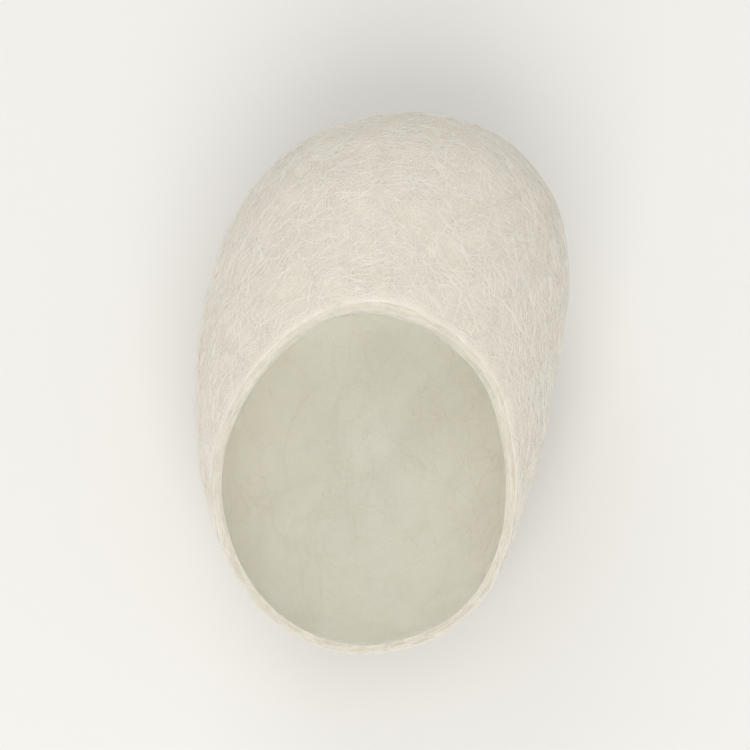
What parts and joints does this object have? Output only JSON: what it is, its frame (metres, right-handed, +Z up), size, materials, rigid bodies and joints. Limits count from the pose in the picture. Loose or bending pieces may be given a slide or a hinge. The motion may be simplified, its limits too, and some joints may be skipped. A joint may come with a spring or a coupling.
{
  "type": "silk cocoon",
  "caption": "Silkworm cocoon cut open: a hollow oval silk shell, closed and rounded at one end, with a slanting mouth at the other.",
  "frame": {"origin": "middle of the underside of the bounding box, level with the small flat spot that the cocoon rests on", "axes": "+Y along the cocoon's axis towards the closed end; the mouth faces -Y and +Z; +Z up"},
  "size_m": [0.0225, 0.0336, 0.0222],
  "materials": {
    "silk": "matt ivory raw silk, layered and papery, with a faint sheen"
  },
  "bodies": {
    "root": {"cocoon": "silk"}
  },
  "joints": []
}
